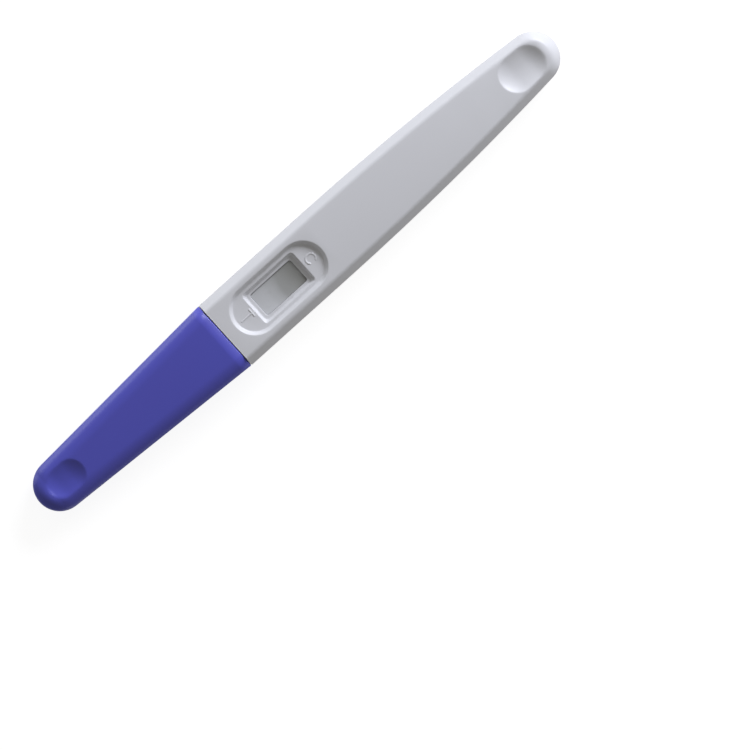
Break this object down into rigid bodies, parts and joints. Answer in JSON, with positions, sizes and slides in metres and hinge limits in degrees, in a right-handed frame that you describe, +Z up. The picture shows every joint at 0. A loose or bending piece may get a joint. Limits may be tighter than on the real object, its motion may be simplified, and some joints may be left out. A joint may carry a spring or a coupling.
{
  "type": "midstream pregnancy test",
  "caption": "Slim midstream test stick: bevelled white housing with a recessed result window and thumb dimple, absorbent tip, and a tapered violet-blue cap that slides off.",
  "frame": {"origin": "on the ground plane under the middle of the capped stick, at the bottom centre of its bounding box", "axes": "+X from the cap towards the grip end, +Z up through the window, +Y across the stick"},
  "size_m": [0.14, 0.016, 0.0078],
  "materials": {
    "cap_plastic": "satin moulded plastic, violet-blue",
    "housing_plastic": "satin moulded plastic, white",
    "lens_plastic": "frosted translucent plastic, greenish grey",
    "tip_fibre": "pressed absorbent fibre, off-white",
    "card_plastic": "thin plastic card, white",
    "pad_fibre": "glass-fibre and cellulose pad, off-white",
    "membrane_sheet": "smooth porous sheet, white"
  },
  "bodies": {
    "stick": {"upper_shell": "housing_plastic", "lower_shell": "housing_plastic", "window_lens": "lens_plastic", "absorbent_tip": "tip_fibre", "backing_card": "card_plastic", "conjugate_pad": "pad_fibre", "membrane": "membrane_sheet", "sink_pad": "pad_fibre"},
    "cap": {"cap": "cap_plastic"}
  },
  "joints": [
    {"name": "cap_slide", "type": "slide", "parent": "stick", "child": "cap", "axis": [-1, 0, 0], "range_m": [0, 0.032]}
  ]
}
